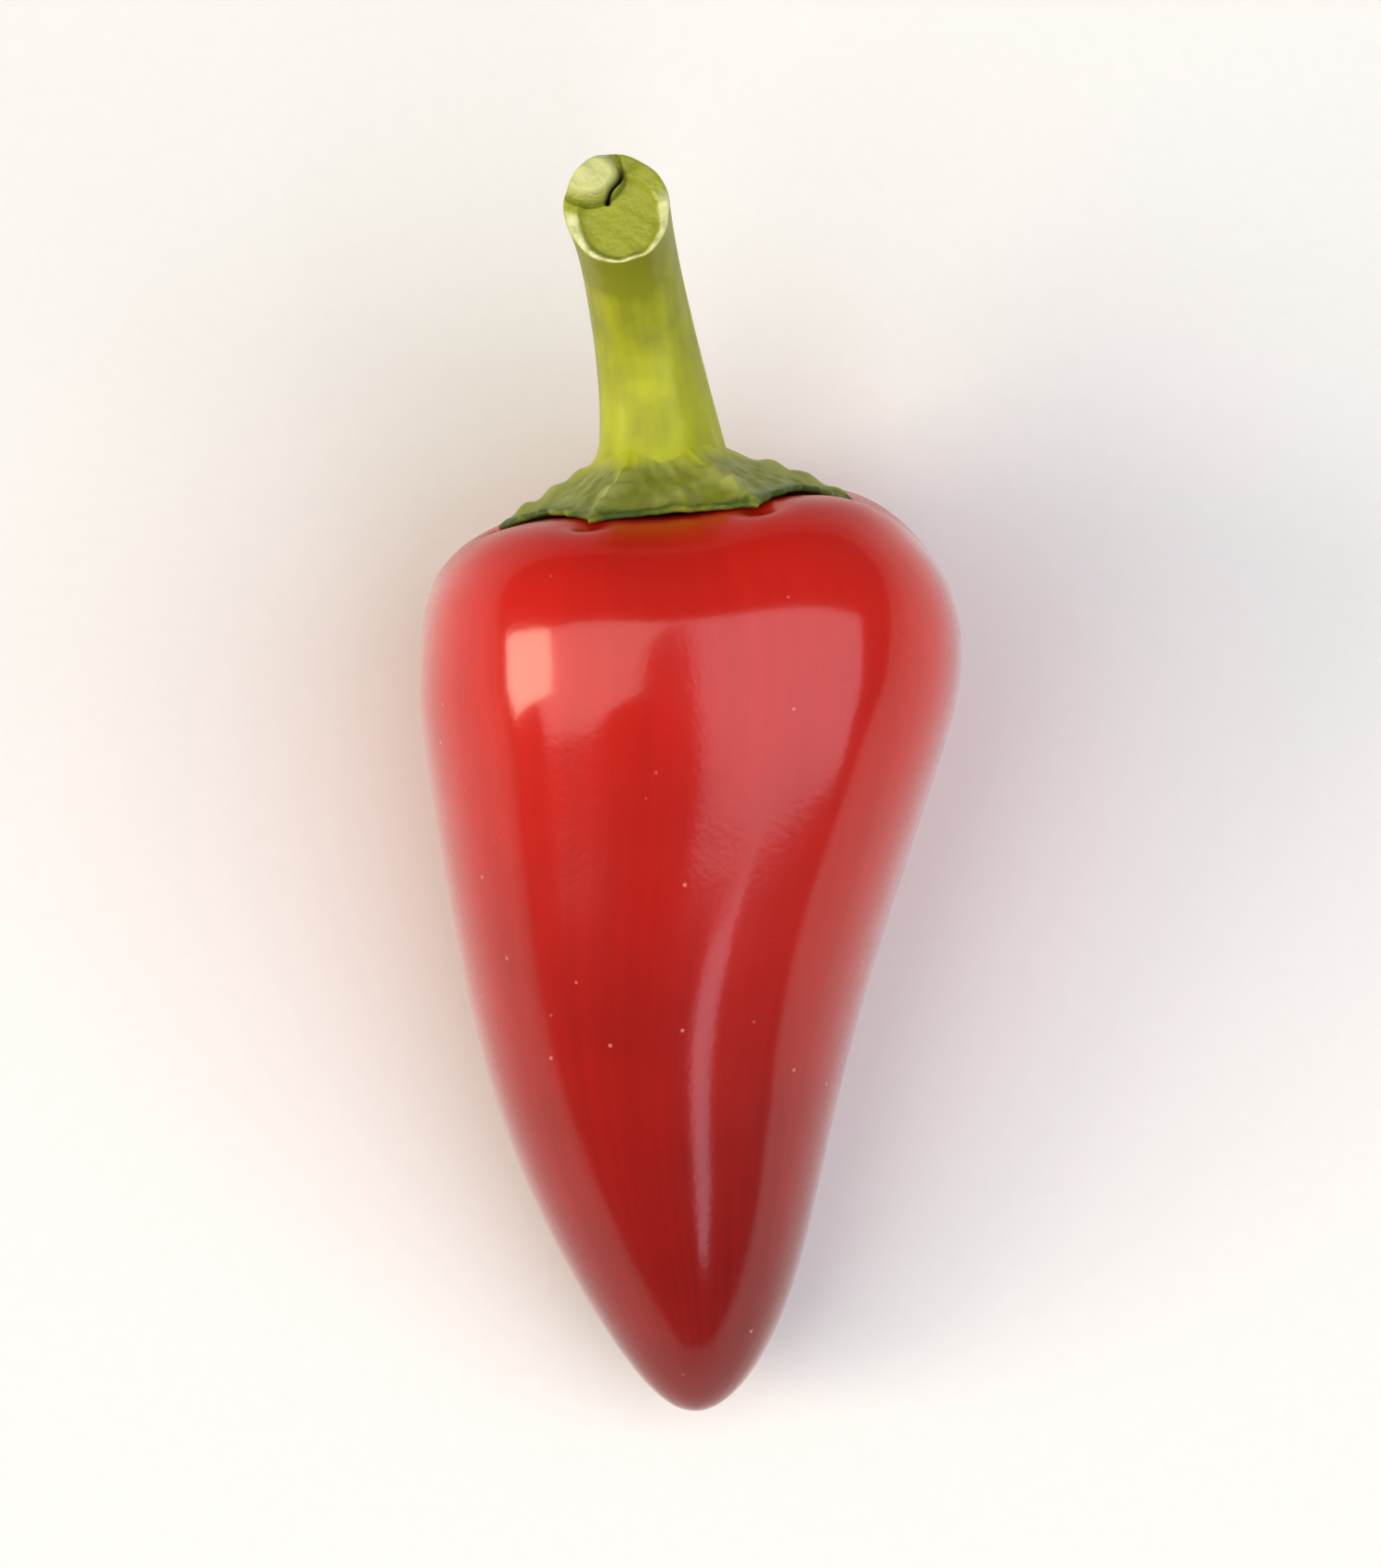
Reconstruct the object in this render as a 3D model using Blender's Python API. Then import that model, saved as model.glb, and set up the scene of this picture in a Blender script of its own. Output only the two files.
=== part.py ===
"""A ripe red chilli pepper as picked, lying on its side: its pod, its calyx and its stem.

Metres, +Z up. The pod's axis runs along Y, with the stem towards +Y and the tip towards -Y.
The origin is on the surface that the pepper lies on, under the middle of its box.
Each piece is made in the pod's own frame, whose origin is the middle of the crown, where the
crest ring would close, with the tip down the -Y axis. A parent empty then lays the pod down.
"""

from math import atan2, cos, exp, hypot, pi, radians, sin, sqrt, tan

import bmesh
import bpy
from mathutils import Matrix, Vector

# The pod
POD_LENGTH = 0.0553  # from the crest of the crown to the tip
POD_WIDTH = 0.0334  # mean width across the widest section
SHOULDER_DEPTH = 0.0098  # from the crest down to the widest section
SHOULDER_SQUARENESS = 2.7  # 2 makes the shoulder elliptical, and more makes it squarer
CREST_RADIUS = 0.0075  # of the ring where the crown stands highest
DIMPLE_DEPTH = 0.0012  # of the hollow inside the crest, under the calyx
NOSE_WIDTH = 0.0126  # that the straight taper would have at the tip
NOSE_BLUNTNESS = 5.5  # a higher power keeps the taper straight for longer
LOBES = 4  # the seed chambers, which bulge the wall a little
LOBE_SHARE = 0.024  # height of a lobe on the side, as a share of the local radius
LOBE_RISE = 0.0007  # height of a lobe on the crown
BOW = 0.0018  # how far the middle of the pod bows towards -X
CROWN_SHIFT = 0.0013  # how far the crown sits off the pod's axis towards -X
CROWN_SLANT = radians(5.2)  # the crown faces this far towards -X
BELLY_PRESS = 0.00015  # depth of the flat where the skin bears on the surface

# The calyx, a thin green cap with pointed teeth, and the stem that grows from it
CALYX_WIDTH = 0.0210  # from tooth to opposite tooth
CALYX_NOTCH = 0.0014  # from a tooth's circle in to the edge midway between two teeth
TOOTH_ANGLES = [radians(a) for a in (2, 66, 122, 181, 240, 303)]
RIM_THICKNESS = 0.0007
COLLAR_WIDTH = 0.0080  # of the calyx's flat top, which carries the stem
COLLAR_HEIGHT = 0.0032  # of that top above the crest
COLLAR_SHIFT = 0.0005  # how far the collar sits off the crown's middle towards -X
CALYX_SWEEP = 1.6  # a higher power makes the calyx flatter, with a steeper neck
STEM_LENGTH = 0.0186  # along its centre line, from the collar to the cut
STEM_WIDTH = 0.0057  # at its waist
STEM_FOOT_WIDTH = 0.0078
STEM_END_WIDTH = 0.0063
STEM_CURL = radians(64)  # how far the stem turns up between the collar and the cut
STEM_SWAY = radians(8)  # how far it leans on towards -X over its length
SEAT_GAP = 0.0003  # between two pieces that bear on each other

# How finely the surfaces are faceted
POD_SIDES = 40
STEM_SIDES = 20
TOOTH_STEPS = 7  # facets between two teeth

POD_RADIUS = POD_WIDTH / 2
TAPER_LENGTH = POD_LENGTH - SHOULDER_DEPTH
TAPER_FALL = (POD_WIDTH - NOSE_WIDTH) / 2
LIE_ANGLE = atan2(TAPER_FALL, TAPER_LENGTH)  # the pod lies on its straight taper, tip down
CROWN_AXIS = Vector((-sin(CROWN_SLANT), cos(CROWN_SLANT), 0))
Z_AXIS = Vector((0, 0, 1))


def clear_scene():
    for obj in list(bpy.data.objects):
        bpy.data.objects.remove(obj)


def skin_material(name, colour, roughness):
    """A Principled material with that linear colour."""
    material = bpy.data.materials.new(name)
    material.use_nodes = True
    shader = material.node_tree.nodes["Principled BSDF"]
    shader.inputs["Base Color"].default_value = (*colour, 1)
    shader.inputs["Roughness"].default_value = roughness
    shader.inputs["Metallic"].default_value = 0
    return material


def lofted(name, rings, material):
    """A closed object whose skin runs through the rings, with a fan over each end."""
    mesh = bmesh.new()
    loops = [[mesh.verts.new(point) for point in ring] for ring in rings]
    count = len(loops[0])
    for here, there in zip(loops, loops[1:]):
        for i in range(count):
            j = (i + 1) % count
            mesh.faces.new((here[i], here[j], there[j], there[i]))
    for loop in (loops[0], loops[-1]):
        middle = sum((v.co for v in loop), Vector()) / count
        hub = mesh.verts.new(middle)
        for i in range(count):
            mesh.faces.new((hub, loop[i], loop[(i + 1) % count]))
    bmesh.ops.recalc_face_normals(mesh, faces=mesh.faces)
    data = bpy.data.meshes.new(name)
    mesh.to_mesh(data)
    mesh.free()
    data.materials.append(material)
    data.shade_smooth()
    obj = bpy.data.objects.new(name, data)
    bpy.context.scene.collection.objects.link(obj)
    return obj


def evenly(start, stop, steps):
    """steps + 1 values from start to stop."""
    return [start + (stop - start) * i / steps for i in range(steps + 1)]


def crown_drop(radius):
    """How far the crown lies below its crest at a radius: a smooth dimple inside the crest
    ring, and a quarter of a superellipse from the crest out to the widest section."""
    if radius < CREST_RADIUS:
        return DIMPLE_DEPTH * (1 + cos(pi * radius / CREST_RADIUS)) / 2
    share = min(1, (radius - CREST_RADIUS) / (POD_RADIUS - CREST_RADIUS))
    power = SHOULDER_SQUARENESS
    return SHOULDER_DEPTH * (1 - (1 - share**power) ** (1 / power))


def taper_radius(below):
    """The pod's radius at a distance below its widest section: a straight taper that starts
    with a rounded knee, about as curved as the shoulder, and ends in a rounded nose."""
    knee = TAPER_FALL / TAPER_LENGTH * SHOULDER_DEPTH**2 / (POD_RADIUS - CREST_RADIUS)
    fall = TAPER_FALL * (hypot(below, knee) - knee) / (hypot(TAPER_LENGTH, knee) - knee)
    nose = sqrt(1 - (below / TAPER_LENGTH) ** NOSE_BLUNTNESS)
    return (POD_RADIUS - fall) * nose


def on_pod(radius, depth, angle):
    """A point of the pod, in its own frame, from its plain radius and depth. The lobes of the
    side fade out towards the tip, and the crown's shift, slant and lobes fade out below it."""
    along = depth / POD_LENGTH
    wave = cos(LOBES * (angle - pi / LOBES))
    radius_here = radius * (1 + LOBE_SHARE * (1 - along**2) * wave)
    x = radius_here * cos(angle)
    z = radius_here * sin(angle)
    lift = x * tan(CROWN_SLANT) + LOBE_RISE * wave * (radius / POD_RADIUS) ** 2
    y = lift * exp(-((depth / SHOULDER_DEPTH) ** 2)) - depth
    shift = BOW * sin(pi * along**1.36) ** 2 + CROWN_SHIFT * exp(-((2 * depth / SHOULDER_DEPTH) ** 2))
    return Vector((x - shift, y, z))


def pod_profile():
    """(radius, depth) from the middle of the crown to the tip, closer together where it turns."""
    inside = [(r, crown_drop(r)) for r in evenly(0, CREST_RADIUS, 4)[1:]]
    turn = POD_RADIUS - CREST_RADIUS
    shoulder = [
        (r, crown_drop(r))
        for r in [CREST_RADIUS + turn * sin(a) for a in evenly(0, pi / 2, 8)[1:]]
    ]
    belows = [TAPER_LENGTH * sin(a) for a in evenly(0, pi / 2, 18)[1:-1]]
    taper = [(taper_radius(b), SHOULDER_DEPTH + b) for b in belows]
    return inside + shoulder + taper


def pod(material):
    angles = evenly(0, 2 * pi, POD_SIDES)[:-1]
    rings = [[on_pod(r, d, a) for a in angles] for r, d in pod_profile()]
    return lofted("pod", rings, material)


def press_flat(obj, turn):
    """Presses the lowest skin of the object, once turned, onto one level plane."""
    levels = [(turn @ v.co).z for v in obj.data.vertices]
    plane = min(levels) + BELLY_PRESS
    upwards = turn.inverted() @ Z_AXIS
    for vertex, level in zip(obj.data.vertices, levels):
        if level < plane:
            vertex.co += upwards * (plane - level)


def calyx_edge(angle_share):
    """The calyx's radius, from 0 at a tooth to 1 midway to the next: the edge falls away
    steeply beside the tooth's point and then runs nearly straight."""
    return CALYX_WIDTH / 2 - CALYX_NOTCH * angle_share**0.7


def calyx_outline():
    """(angle, radius) round the edge of the calyx."""
    outline = []
    ends = TOOTH_ANGLES[1:] + [TOOTH_ANGLES[0] + 2 * pi]
    for start, stop in zip(TOOTH_ANGLES, ends):
        for i in range(TOOTH_STEPS):
            share = i / TOOTH_STEPS
            radius = calyx_edge(1 - abs(2 * share - 1))
            outline.append((start + (stop - start) * share, radius))
    return outline


def calyx_ring(outline, inner_radius, share, height_at, shift=0):
    """A ring of the calyx, a share of the way from the inner radius out to its edge, at a
    height above the crown, and shifted towards -X."""
    ring = []
    for angle, edge in outline:
        radius = inner_radius + (edge - inner_radius) * share
        seat = on_pod(radius, crown_drop(radius), angle)
        ring.append(seat + CROWN_AXIS * height_at(radius, edge) - Vector((shift, 0, 0)))
    return ring


def calyx(material):
    """A thin cap: its underside lies SEAT_GAP off the crown, and its top sweeps up in a
    hollow curve from the rim to the collar."""
    outline = calyx_outline()
    collar = COLLAR_WIDTH / 2

    def under(radius, edge):
        return SEAT_GAP

    def top(radius, edge):
        rim = SEAT_GAP + RIM_THICKNESS
        inwards = (edge - radius) / (edge - collar)
        return rim + (COLLAR_HEIGHT + crown_drop(collar) - rim) * inwards**CALYX_SWEEP

    rings = [calyx_ring(outline, 0, share, under) for share in evenly(0, 1, 7)[1:]]
    for share in evenly(1, 0, 7):
        rings.append(calyx_ring(outline, collar, share, top, COLLAR_SHIFT * (1 - share) ** 2))
    return lofted("calyx", rings, material)


def stem_radius(share):
    """The stem's radius along its length: a foot that narrows to the waist, and a slight
    flare at the cut."""
    foot = (STEM_FOOT_WIDTH - STEM_WIDTH) / 2 * (1 - share) ** 3.5
    flare = (STEM_END_WIDTH - STEM_WIDTH) / 2 * share**4
    return STEM_WIDTH / 2 + foot + flare


def stem(material):
    """A rod that leaves the collar along the crown's axis and curls upwards."""
    steps = 16
    middle = Vector()
    rings = []
    for i in range(steps + 1):
        share = i / steps
        rise = STEM_CURL * share**1.3
        lean = CROWN_SLANT + STEM_SWAY * share**0.6
        side = Vector((cos(lean), sin(lean), 0))
        ahead = Vector((-sin(lean) * cos(rise), cos(lean) * cos(rise), sin(rise)))
        over = side.cross(ahead)
        radius = stem_radius(share)
        angles = evenly(0, 2 * pi, STEM_SIDES)[:-1]
        rings.append([middle + (side * cos(a) + over * sin(a)) * radius for a in angles])
        middle = middle + ahead * (STEM_LENGTH / steps)
    obj = lofted("stem", rings, material)
    foot_shift = CROWN_SHIFT + COLLAR_SHIFT
    obj.location = CROWN_AXIS * (COLLAR_HEIGHT + SEAT_GAP) - Vector((foot_shift, 0, 0))
    return obj


def lay_down(pieces, turn):
    """Parents the pieces to an empty that turns the pod tip down, and moves it so that the
    middle of the underside of their box is at the origin."""
    root = bpy.data.objects.new("chilli_pepper", None)
    bpy.context.scene.collection.objects.link(root)
    for piece in pieces:
        piece.parent = root
    root.matrix_world = turn
    bpy.context.view_layer.update()
    points = [p.matrix_world @ v.co for p in pieces for v in p.data.vertices]
    low, high = (Vector([f(p[k] for p in points) for k in range(3)]) for f in (min, max))
    root.location = (-(low.x + high.x) / 2, -(low.y + high.y) / 2, -low.z)


def main():
    clear_scene()
    pod_skin = skin_material("pod_skin", (0.58, 0.014, 0.010), 0.18)
    calyx_leaf = skin_material("calyx_leaf", (0.13, 0.24, 0.035), 0.5)
    stem_rind = skin_material("stem_rind", (0.28, 0.38, 0.03), 0.45)
    turn = Matrix.Rotation(LIE_ANGLE, 4, "X")
    body = pod(pod_skin)
    press_flat(body, turn)
    lay_down([body, calyx(calyx_leaf), stem(stem_rind)], turn)


main()
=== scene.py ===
"""The looks of a ripe red chilli pepper that lies on a pale studio floor.

The pepper's shapes are worked out in the pod's own frame, in metres. Its origin is the middle
of the crown, where the ring of the crest would close. The pod's axis runs down -Y to the tip,
and +Z is the side that faces up. lie_down() then turns and moves every piece in the same way.
"""

import bpy
import numpy as np
from mathutils import Matrix, Vector


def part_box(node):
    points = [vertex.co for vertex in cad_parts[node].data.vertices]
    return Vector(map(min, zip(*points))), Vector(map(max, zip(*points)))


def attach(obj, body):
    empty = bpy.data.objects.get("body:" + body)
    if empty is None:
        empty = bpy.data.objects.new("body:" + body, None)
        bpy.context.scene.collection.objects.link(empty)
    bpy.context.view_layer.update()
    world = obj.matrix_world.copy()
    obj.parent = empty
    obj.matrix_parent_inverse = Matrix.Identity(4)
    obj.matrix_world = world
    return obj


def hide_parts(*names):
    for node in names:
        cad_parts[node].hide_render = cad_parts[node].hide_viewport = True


bl_info = {
    "name": "Chilli Pepper",
    "version": (1, 0, 0),
    "blender": (4, 5, 0),
    "location": "View3D > Sidebar > Chilli",
    "description": "Builds a ripe chilli pepper with its calyx and cut stem, on a studio floor",
    "category": "Add Mesh",
}

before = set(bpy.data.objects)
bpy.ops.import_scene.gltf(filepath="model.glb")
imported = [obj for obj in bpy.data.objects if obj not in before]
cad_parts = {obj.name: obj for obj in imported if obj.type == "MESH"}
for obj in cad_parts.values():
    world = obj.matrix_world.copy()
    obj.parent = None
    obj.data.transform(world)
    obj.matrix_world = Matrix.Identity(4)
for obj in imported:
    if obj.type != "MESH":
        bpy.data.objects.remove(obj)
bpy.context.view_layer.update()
POD_LOW, POD_HIGH = (np.array(corner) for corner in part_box("pod"))

# Which input and output of a Mix node carry its colours
MIX_A, MIX_B, MIX_RESULT = 6, 7, 2


def linear(code):
    """The linear colour, with alpha, of an sRGB hex code such as "#c8231b"."""
    srgb = np.array([int(code[i : i + 2], 16) for i in (1, 3, 5)]) / 255
    low, high = srgb / 12.92, ((srgb + 0.055) / 1.055) ** 2.4
    return (*np.where(srgb <= 0.04045, low, high).tolist(), 1.0)


def length(name, description, default):
    """A property that holds a length in metres."""
    return bpy.props.FloatProperty(
        name=name, description=description, default=default, min=0, precision=4, unit="LENGTH"
    )


def angle(name, description, degrees):
    """A property that holds an angle."""
    return bpy.props.FloatProperty(
        name=name, description=description, default=np.radians(degrees), unit="ROTATION"
    )


def amount(name, description, default):
    """A property that holds a plain number."""
    return bpy.props.FloatProperty(name=name, description=description, default=default)


def colour(name, description, code):
    """A property that holds a colour."""
    return bpy.props.FloatVectorProperty(
        name=name, description=description, default=linear(code), size=4, subtype="COLOR", min=0, max=1
    )


class CHILLI_PG_pod(bpy.types.PropertyGroup):
    """Sizes and colours of the pod."""

    length: length("Length", "From the crest of the crown to the tip", 0.0553)
    width: length("Width", "Mean width across the widest section", 0.0334)
    shoulder: length("Shoulder", "From the crest down to the widest section", 0.0098)
    squareness: amount("Squareness", "Of the shoulder: 2 is elliptical, and more is squarer", 2.7)
    crest: length("Crest Radius", "Of the ring where the crown stands highest", 0.0075)
    dimple: length("Dimple", "Depth of the hollow inside the crest", 0.0012)
    nose: length("Nose Width", "Width that the straight taper would have at the tip", 0.0126)
    bluntness: amount("Bluntness", "A higher power keeps the taper straight for longer", 5.5)
    bow: length("Bow", "How far the middle of the pod bows towards -X", 0.0018)
    shift: length("Crown Shift", "How far the crown sits off the pod's axis towards -X", 0.0013)
    slant: angle("Crown Slant", "How far the crown faces towards -X", 5.2)
    lobe: amount("Lobes", "Height of a seed chamber's bulge, as a share of the radius", 0.026)
    lobe_rise: length("Crown Lobes", "Height of a lobe on the crown", 0.0008)
    dent: length("Dents", "Height of the soft waves that growing leaves in the wall", 0.00016)
    groove: length("Grooves", "Depth of the groove in the skin under each tooth", 0.00038)
    pressed: length("Pressed Belly", "Height to which the belly is pressed level", 0.00002)
    skin: colour("Skin", "Ripe skin where it is brightest", "#d22414")
    # Painted shade: this darker red is painted into the furrows near the crown and towards the tip; it
    # also colours the blotches and streaks
    skin_deep_and_shaded: colour("Deep Skin", "Ripe skin in the furrows and towards the tip", "#820c05")
    speck: colour("Specks", "The tiny pale pores in the skin", "#e9a08c")


class CHILLI_PG_calyx(bpy.types.PropertyGroup):
    """Sizes and colours of the calyx."""

    width: length("Width", "From tooth to opposite tooth", 0.0212)
    notch: length("Notch", "From a tooth's circle in to the edge between two teeth", 0.0019)
    thickness: length("Thickness", "Of the leaf at its rim", 0.00042)
    lift: length("Lift", "Of the edge off the pod's skin midway between two teeth", 0.0002)
    droop: length("Droop", "How far the teeth bend down over their grooves", 0.00016)
    neck: length("Neck Width", "Where the calyx meets the stem", 0.0066)
    height: length("Height", "Of the cone over the crown, before the neck", 0.0031)
    tuck: length("Tuck", "How much further the neck rises, past the foot of the stem", 0.0004)
    stand: length("Stand", "How far the neck's very edge stands up round the stem", 0.0016)
    sweep: amount("Sweep", "A higher power makes the calyx flatter and its neck steeper", 1.35)
    lean: length("Lean", "How far the neck sits off the crown's middle towards -X", 0.0005)
    crook: length("Crook", "How much further the neck leans over where it meets the stem", 0.0002)
    rib: length("Ribs", "Height of the rib that runs out to each tooth", 0.00045)
    pucker: length("Puckers", "Height of the creases between the ribs", 0.00008)
    ragged: length("Ragged Edge", "Height of the small waves in the edge's outline", 0.00009)
    leaf: colour("Leaf", "The leaf between its ribs", "#8a9128")
    leaf_light: colour("Light Leaf", "The leaf on its ribs", "#b6bb6c")
    # Painted shade: the darker green painted in patches along the rim
    rim: colour("Rim", "The dark patches along the rim", "#4c6420")


class CHILLI_PG_stem(bpy.types.PropertyGroup):
    """Sizes and colours of the stem."""

    length: length("Length", "Along the centre line, from the calyx to the cut", 0.0186)
    width: length("Width", "At the waist", 0.0057)
    foot: length("Foot Width", "Where the stem leaves the calyx", 0.0078)
    end: length("End Width", "At the cut", 0.0063)
    curl: angle("Curl", "How far the stem turns up along its length", 64)
    sway: angle("Sway", "How far it leans on towards -X along its length", 8)
    ridge: length("Ridges", "Height of the lengthwise ridges", 0.00008)
    lip: length("Lip", "Height of the rounded rim of the cut", 0.0003)
    sunk: length("Sunk Pith", "How far the pith has shrunk below the rim of the cut", 0.0005)
    flap: length("Flap", "Height of the flap of rind that is folded over the cut", 0.0010)
    crease: length("Crease", "Depth of the crease below the flap", 0.0002)
    split: length("Split", "Depth of the split beside the flap", 0.0011)
    oblique: length("Oblique Cut", "How much sooner the side nearer the crown ends", 0.0020)
    rind: colour("Rind", "The stem's skin", "#bcc02c")
    # Painted shade: this darker olive is painted into the furrows between the ridges and towards the
    # cut; it also colours the mottling and fibres
    rind_deep_and_shaded: colour("Deep Rind", "The furrows between the ridges", "#90952a")
    pith: colour("Pith", "The soft middle of the cut", "#a9ad3e")
    fibre: colour("Fibre", "The moist fibres along the pith's lower edge", "#eaedb6")
    flap_rind: colour("Flap Rind", "The dried flap of rind over the cut", "#d2d590")
    # Painted shade: near-black painted into the split and, more faintly, the crease below the flap
    dark: colour("Dark Split", "The bottom of the split", "#1d1c08")


class CHILLI_PG_stage(bpy.types.PropertyGroup):
    """The floor, the lights and the camera."""

    floor_radius: length("Floor Radius", "Of the flat part of the floor", 1.7)
    floor_curve: length("Cove Radius", "Of the curve in which the floor turns up at its edge", 0.32)
    paper: colour("Paper", "The floor's colour", "#f6f5ef")
    air: amount("Air", "Strength of the even light from all round", 0.22)
    lens: amount("Lens", "Focal length in millimetres", 170)
    view: angle("View Angle", "Of the camera above the floor", 82)
    away: length("Camera Distance", "From the middle of the pepper", 0.45)


class CHILLI_PG_all(bpy.types.PropertyGroup):
    """Everything that a user may change."""

    pod: bpy.props.PointerProperty(type=CHILLI_PG_pod)
    calyx: bpy.props.PointerProperty(type=CHILLI_PG_calyx)
    stem: bpy.props.PointerProperty(type=CHILLI_PG_stem)
    stage: bpy.props.PointerProperty(type=CHILLI_PG_stage)


# Shapes


def smooth(x):
    """The smooth step from 0 at x = 0 to 1 at x = 1."""
    x = np.clip(x, 0, 1)
    return x * x * (3 - 2 * x)


def around(columns):
    """Angles once round, without the last."""
    return np.linspace(0, 2 * np.pi, columns, endpoint=False)


def nearness(angles, centre, width):
    """A round bump of height 1 at the centre angle, which fades over the width."""
    apart = (angles - centre + np.pi) % (2 * np.pi) - np.pi
    return np.exp(-((apart / width) ** 2))


def crown_drop(radius, pod):
    """How far the crown lies below its crest: a cosine dimple inside the crest's ring, and a
    quarter of a superellipse from the ring out to the widest section."""
    inside = pod.dimple * (1 + np.cos(np.pi * radius / pod.crest)) / 2
    share = np.clip((radius - pod.crest) / (pod.width / 2 - pod.crest), 0, 1)
    outside = pod.shoulder * (1 - (1 - share**pod.squareness) ** (1 / pod.squareness))
    return np.where(radius < pod.crest, inside, outside)


def taper_radius(below, pod):
    """The radius below the widest section: a straight taper that starts with a hyperbola's
    rounded knee, times a rounded nose."""
    taper = pod.length - pod.shoulder
    fall = (pod.width - pod.nose) / 2
    knee = fall / taper * pod.shoulder**2 / (pod.width / 2 - pod.crest)
    fallen = fall * (np.hypot(below, knee) - knee) / (np.hypot(taper, knee) - knee)
    nose = np.sqrt(np.clip(1 - (below / taper) ** pod.bluntness, 0, 1))
    return (pod.width / 2 - fallen) * nose


def on_pod(radius, depth, angles, pod, detail=1.0):
    """Points of the pod from its plain radius and depth. Each quarter bulges as a lobe, which
    fades towards the tip. The crown's slant and lobes fade out below the shoulder. The pod bows
    as a squared sine of a power of the share of its length. Detail brings in the differences
    between the lobes and the soft waves in the wall."""
    along = depth / pod.length
    wave = np.cos(4 * (angles - np.pi / 4 - 0.10 * detail * along))
    uneven = 1 + detail * 0.35 * np.cos(angles - 0.6)
    waves = np.sin(2 * angles + 7 * along + 0.4) + 0.7 * np.sin(3 * angles - 11 * along + 2.0)
    waves = waves * np.sin(np.pi * np.clip(along, 0, 1)) ** 0.5
    radius_here = radius * (1 + pod.lobe * uneven * (1 - along**2) * wave)
    radius_here = radius_here + detail * pod.dent * waves * radius / pod.width * 2
    x = radius_here * np.cos(angles)
    z = radius_here * np.sin(angles)
    lift = x * np.tan(pod.slant) + pod.lobe_rise * uneven * wave * (2 * radius / pod.width) ** 2
    y = lift * np.exp(-((depth / pod.shoulder) ** 2)) - depth
    shift = pod.shift * np.exp(-((2 * depth / pod.shoulder) ** 2))
    bow = pod.bow * np.sin(np.pi * np.clip(along, 0, 1) ** 1.36) ** 2
    return np.stack([x - bow - shift, y, z], axis=-1)


def pod_profile(pod, inside, shoulder, taper):
    """Radius and depth from the middle of the crown to the tip, with that many rows in the
    dimple, over the shoulder and down the taper, closer together where the profile turns."""
    radius_in = pod.crest * np.linspace(0, 1, inside + 1)[1:]
    turn = np.linspace(0, np.pi / 2, shoulder + 1)[1:]
    radius_out = pod.crest + (pod.width / 2 - pod.crest) * np.sin(turn)
    below = (pod.length - pod.shoulder) * np.sin(np.linspace(0, np.pi / 2, taper + 1)[1:-1])
    radii = np.concatenate([radius_in, radius_out])
    radius = np.concatenate([radii, taper_radius(below, pod)])
    depth = np.concatenate([crown_drop(radii, pod), pod.shoulder + below])
    return radius, depth


def lie_down(points, sizes):
    """Turns points from the pod's own frame so that it lies on its straight taper, tip down,
    and moves them so that the plain pod fills the box of the frame's pod."""
    pod = sizes.pod
    tip_down = np.arctan2((pod.width - pod.nose) / 2, pod.length - pod.shoulder)
    c, s = np.cos(tip_down), np.sin(tip_down)
    turn = np.array([[1, 0, 0], [0, c, s], [0, -s, c]])
    radius, depth = pod_profile(pod, 12, 24, 48)
    plain = on_pod(radius[:, None], depth[:, None], around(96), pod, detail=0) @ turn
    plain = plain.reshape(-1, 3)
    middle = (plain.min(axis=0) + plain.max(axis=0)) / 2
    return points @ turn + (POD_LOW + POD_HIGH) / 2 - middle


def skinned(name, points, fields, materials, zones=None):
    """An object whose skin is a grid of points, rows by columns. Each row closes on itself,
    and a fan closes the first row and the last. The fields are grids of values or of vectors,
    which the materials read as attributes. Zones gives the material's number for each row."""
    rows, columns = points.shape[:2]
    grid = np.arange(rows * columns).reshape(rows, columns)
    right = np.roll(grid, -1, axis=1)
    quads = np.stack([grid[:-1], right[:-1], right[1:], grid[1:]], axis=-1).reshape(-1, 4)
    first = np.stack([np.full(columns, rows * columns), right[0], grid[0]], axis=-1)
    last = np.stack([np.full(columns, rows * columns + 1), grid[-1], right[-1]], axis=-1)

    def with_hubs(values):
        flat = values.reshape(rows * columns, -1)
        return np.concatenate([flat, values[[0, -1]].mean(axis=1).reshape(2, -1)])

    mesh = bpy.data.meshes.new(name)
    faces = quads.tolist() + first.tolist() + last.tolist()
    mesh.from_pydata(with_hubs(points), [], faces)
    for field, values in fields.items():
        flat = with_hubs(np.broadcast_to(values, (rows, columns, *np.shape(values)[2:])))
        vector = flat.shape[1] == 3
        attribute = mesh.attributes.new(field, "FLOAT_VECTOR" if vector else "FLOAT", "POINT")
        attribute.data.foreach_set("vector" if vector else "value", flat.ravel())
    for material in materials:
        mesh.materials.append(material)
    if zones is not None:
        per_quad = np.repeat(np.maximum(zones[:-1], zones[1:]), columns)
        per_fan = np.repeat([zones[0], zones[-1]], columns)
        mesh.polygons.foreach_set("material_index", np.concatenate([per_quad, per_fan]))
    mesh.shade_smooth()
    mesh.update()
    made = bpy.data.objects.new(name, mesh)
    bpy.context.scene.collection.objects.link(made)
    return made


def flow(angles, along, girth):
    """A vector field that runs round and along a piece with no seam, for patterns that follow
    its growth: the cosine and sine of the angle times the girth, and the distance along."""
    angles, along = np.broadcast_arrays(angles, along)
    return np.stack([np.cos(angles) * girth, np.sin(angles) * girth, along], axis=-1)


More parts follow.
